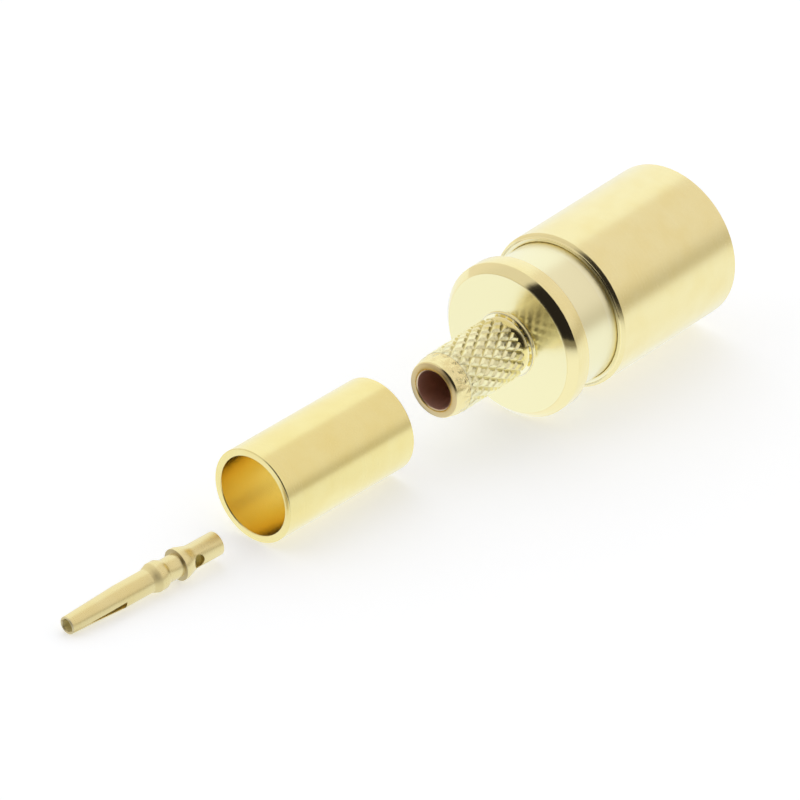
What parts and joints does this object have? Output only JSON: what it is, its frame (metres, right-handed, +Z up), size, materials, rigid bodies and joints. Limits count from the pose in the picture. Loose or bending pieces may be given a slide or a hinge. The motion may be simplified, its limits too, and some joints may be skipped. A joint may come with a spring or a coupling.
{
  "type": "smb crimp plug kit",
  "caption": "Straight gold-plated coaxial cable plug with a knurled crimp stem and push-on socket, lying in a row with its loose crimp ferrule and slotted centre contact.",
  "frame": {"origin": "on the table, below the middle of the whole kit's outline seen from above", "axes": "+X along the connector body's axis, from its crimp stem to its mating mouth; +Z up; the loose pieces lie behind the stem, towards -X"},
  "size_m": [0.0332, 0.007, 0.0066],
  "materials": {
    "crimp_body": "gold-plated turned brass, bright satin",
    "coupling_shell": "gold-plated turned brass, fine circumferential turning marks",
    "spring_collet": "gold-plated spring copper alloy, bright",
    "insulator": "white fluoropolymer, waxy",
    "centre_contact": "gold-plated spring copper alloy, bright satin",
    "crimp_ferrule": "gold-plated annealed tube, satin"
  },
  "bodies": {
    "root": {"crimp_body": "crimp_body", "coupling_shell": "coupling_shell", "spring_collet": "spring_collet", "insulator": "insulator", "centre_contact": "centre_contact", "crimp_ferrule": "crimp_ferrule"}
  },
  "joints": []
}
